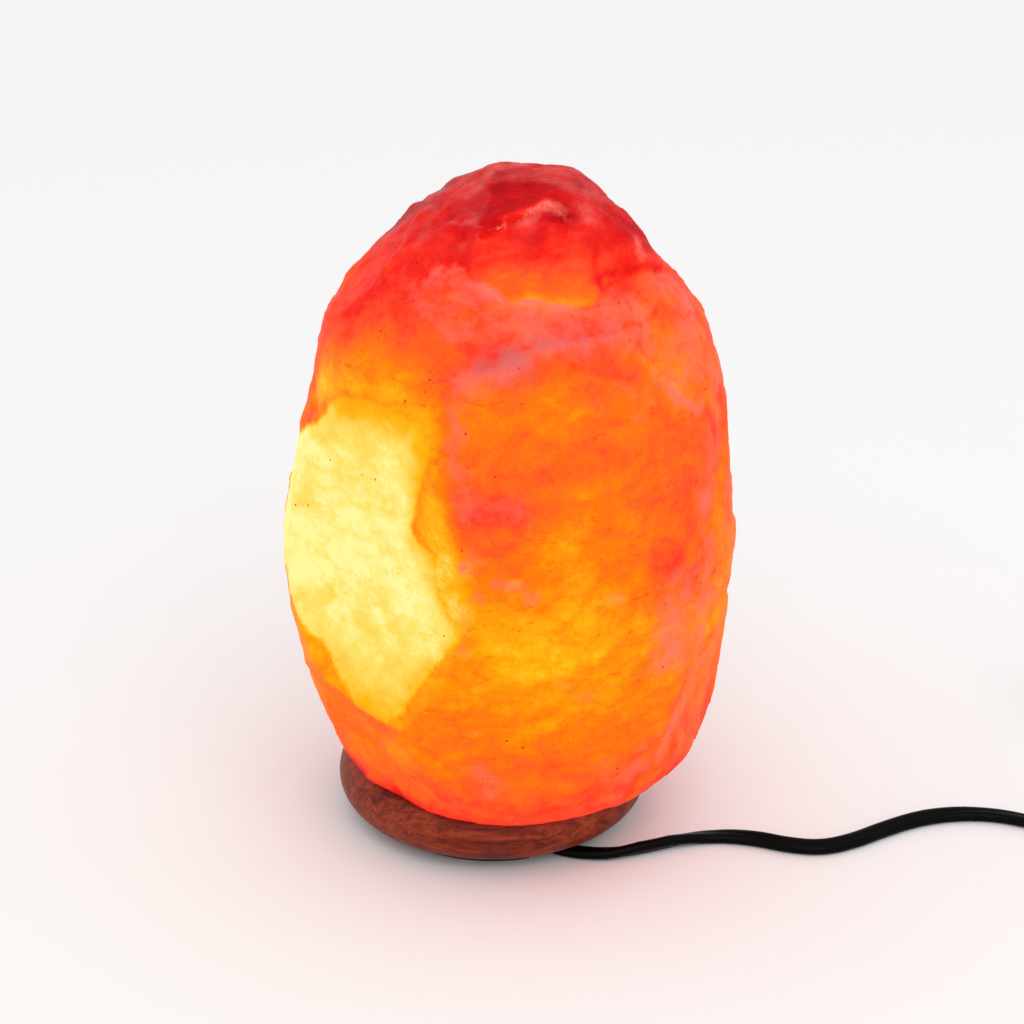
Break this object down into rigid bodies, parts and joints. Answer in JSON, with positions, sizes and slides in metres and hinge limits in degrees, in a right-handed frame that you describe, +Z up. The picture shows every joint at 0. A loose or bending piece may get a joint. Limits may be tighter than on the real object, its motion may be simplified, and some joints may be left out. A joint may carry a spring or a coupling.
{
  "type": "salt crystal lamp",
  "caption": "Rough block of rock salt on a turned round wooden base, with a clip-in bulb fitting below and a flat flex with an in-line switch and a two-pin plug.",
  "frame": {"origin": "on the wooden base's axis, at the surface that the foot pad stands on", "axes": "+Z up along the base's axis, +X to the lamp's right as seen from the front, -Y to the front"},
  "size_m": [0.4, 0.1542, 0.214],
  "materials": {
    "rubber_pad": "moulded, matt",
    "dark_wood": "turned hardwood, dark red-brown oil finish",
    "rock_salt": "rough translucent orange-pink rock salt, lit from inside",
    "zinc_steel": "zinc plated",
    "grey_nylon": "moulded",
    "nickel_brass": "nickel plated",
    "brass": "plain brass",
    "spring_steel": "bright",
    "holder_resin": "moulded resin",
    "porcelain": "unglazed",
    "wire_insulation": "brown and blue core insulation",
    "bulb_glass": "clear",
    "inner_glass": "pressed glass stem",
    "black_glass": "vitreous insulator",
    "solder": "solder",
    "tungsten": "coiled filament wire",
    "black_flex": "smooth PVC sheath",
    "switch_black": "moulded, fine texture",
    "plug_black": "moulded",
    "pin_nickel": "nickel plated"
  },
  "bodies": {
    "root": {"foot_pad": "rubber_pad", "wooden_base": "dark_wood", "base_screws": "zinc_steel", "wall_plugs": "grey_nylon", "salt_crystal": "rock_salt", "cord_in_base": "black_flex", "cord_lead": "black_flex", "cord_bridge": "black_flex", "cord_coil": "black_flex", "cord_tail": "black_flex", "switch_lower_shell": "switch_black", "switch_upper_shell": "switch_black", "shell_screws": "zinc_steel", "rocker_pin": "zinc_steel", "contact_out": "brass", "contact_in": "brass", "contact_screws": "brass", "neutral_link": "wire_insulation", "plug_strain_relief": "plug_black", "plug_body": "plug_black", "plug_pins": "pin_nickel", "pin_sleeves": "plug_black"},
    "fitting": {"holder_plate": "zinc_steel", "spring_clips": "spring_steel", "clip_rivets": "brass", "nipple": "brass", "nipple_nut": "brass", "cord_clamp": "grey_nylon", "clamp_screws": "zinc_steel", "holder_cap": "holder_resin", "holder_barrel": "holder_resin", "holder_core": "porcelain", "thread_sleeve": "brass", "centre_contact": "brass", "side_contact": "brass", "terminal_screws": "brass", "holder_wires": "wire_insulation", "bulb_glass": "bulb_glass", "bulb_cap": "nickel_brass", "bulb_insulator": "black_glass", "bulb_contact": "solder", "bulb_stem": "inner_glass", "filament": "tungsten", "filament_supports": "tungsten"},
    "rocker": {"switch_rocker": "switch_black", "contact_blade": "brass"}
  },
  "joints": [
    {"name": "fitting_pull", "type": "slide", "parent": "root", "child": "fitting", "axis": [0, 0, -1], "range_m": [0, 0.11], "deforming": ["cord_in_base"]},
    {"name": "rocker_tilt", "type": "hinge", "parent": "root", "child": "rocker", "pos_m": [0.262, -0.046, 0.0115], "axis": [0, 1, 0], "range_deg": [-18, 0]}
  ]
}
